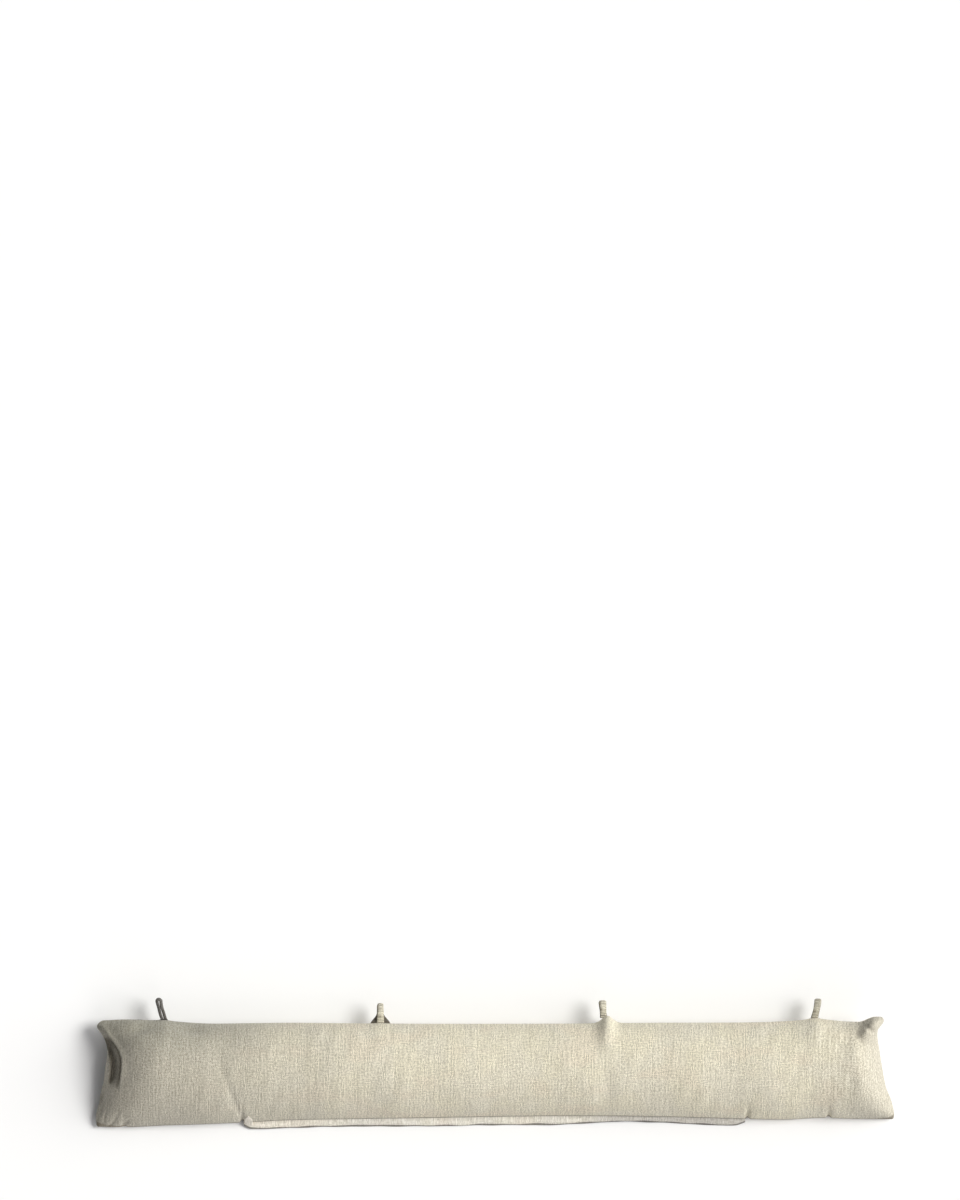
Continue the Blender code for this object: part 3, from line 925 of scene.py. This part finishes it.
def make_floor():
    mesh = bpy.data.meshes.new("floor")
    size = FLOOR_HALF
    corners = [(-size, -size, 0), (size, -size, 0), (size, size, 0), (-size, size, 0)]
    mesh.from_pydata(corners, [], [(0, 1, 2, 3)])
    floor = bpy.data.objects.new("floor", mesh)
    bpy.context.scene.collection.objects.link(floor)
    mesh.materials.append(plain("pale_floor", (0.95, 0.95, 0.955, 1), 0.8))


def turn_to_object(lamp, towards, distance):
    way = np.array(towards, float) / np.linalg.norm(towards)
    lamp.location = way * distance
    lamp.rotation_mode = "QUATERNION"
    lamp.rotation_quaternion = lamp.location.to_track_quat("Z", "Y")
    bpy.context.scene.collection.objects.link(lamp)


def soft_sun(name, towards, share, width, colour):
    """A wide, endlessly distant lamp in a direction.  `share` is the part of white that it gives a
    level surface, and `width` the angle in degrees that it fills."""
    data = bpy.data.lights.new(name, "SUN")
    data.energy = math.pi * share * np.linalg.norm(towards) / towards[2]
    data.angle = math.radians(width)
    data.color = colour
    turn_to_object(bpy.data.objects.new(name, data), towards, 5)


def make_light():
    soft_sun("key", (0.78, 0.18, 1.0), 0.48, 27, (1.0, 0.99, 0.96))
    soft_sun("broad", (1.60, 0.36, 1.0), 0.31, 58, (1.0, 1.0, 0.97))
    soft_sun("fill", (0.55, -1.00, 1.0), 0.11, 40, (1.0, 0.96, 0.98))
    world = bpy.data.worlds.new("studio")
    world.use_nodes = True
    world.node_tree.nodes["Background"].inputs["Color"].default_value = (0.97, 0.98, 1.0, 1)
    world.node_tree.nodes["Background"].inputs["Strength"].default_value = 0.18
    bpy.context.scene.world = world
    bpy.context.scene.view_settings.view_transform = "Standard"


def make_camera():
    """Looks straight down on the face from afar, with the cushion low in the picture."""
    data = bpy.data.cameras.new("camera")
    data.lens = CAMERA_LENS
    data.clip_end = 200
    camera = bpy.data.objects.new("camera", data)
    middle = (cad_box[0] + cad_box[1]) / 2
    distance = FRAME_HEIGHT * data.lens / data.sensor_width
    camera.location = (middle.x + ASIDE_X, middle.y + ASIDE_Y, distance)
    bpy.context.scene.collection.objects.link(camera)
    bpy.context.scene.camera = camera


# ================================================================ the pieces, put together
linen_finish = linen("linen", (0.96, 0.905, 0.745, 1), (0.51, 0.468, 0.36, 1), 1.0, panel=True)
hem_finish = linen("linen_hem", (1.0, 0.96, 0.86, 1), (0.68, 0.64, 0.54, 1), 0.9)
# The back lip's dark finish is a painted shadow of contact along the bottom edge.
contact_shadow_finish = linen("linen_hem_painted_shadow", (0.34, 0.32, 0.28, 1), (0.16, 0.15, 0.13, 1), 0.9)
tape_finish = linen("linen_tape", (0.80, 0.76, 0.63, 1), (0.34, 0.31, 0.24, 1), 1.0, shaded=True)
# The first loop's dark grey finish is painted shade.
painted_shade_tape_finish = linen("linen_tape_painted_shade", (0.56, 0.56, 0.55, 1), (0.20, 0.20, 0.20, 1), 1.0, shaded=True)

cover = build_cover()
cover.data.materials.append(linen_finish)
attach(cover, "root")
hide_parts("cover")

# Name, layer, how much shorter its edge is, seed and finish: the back edge shows a little further out, in
# a dark finish that paints a shadow of contact along the bottom edge.
LIPS = (
    ("closure_lip_face", 1, 0.0, 61, hem_finish),
    ("closure_lip_back", -1, -0.0013, 67, contact_shadow_finish),
)
for lip_name, layer, shorter, seed, finish in LIPS:
    lip = build_lip(lip_name, layer, shorter, seed, cover)
    lip.data.materials.append(finish)
    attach(lip, "root")
    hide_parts("closure_flange")

for number, loop in enumerate(LOOPS, start=1):
    tape, tape_length = build_loop(number, loop)
    tape.data.materials.append(painted_shade_tape_finish if number == 1 else tape_finish)
    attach(tape, "root")
    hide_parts(f"hanging_loop_{number}")

make_floor()
make_light()
make_camera()
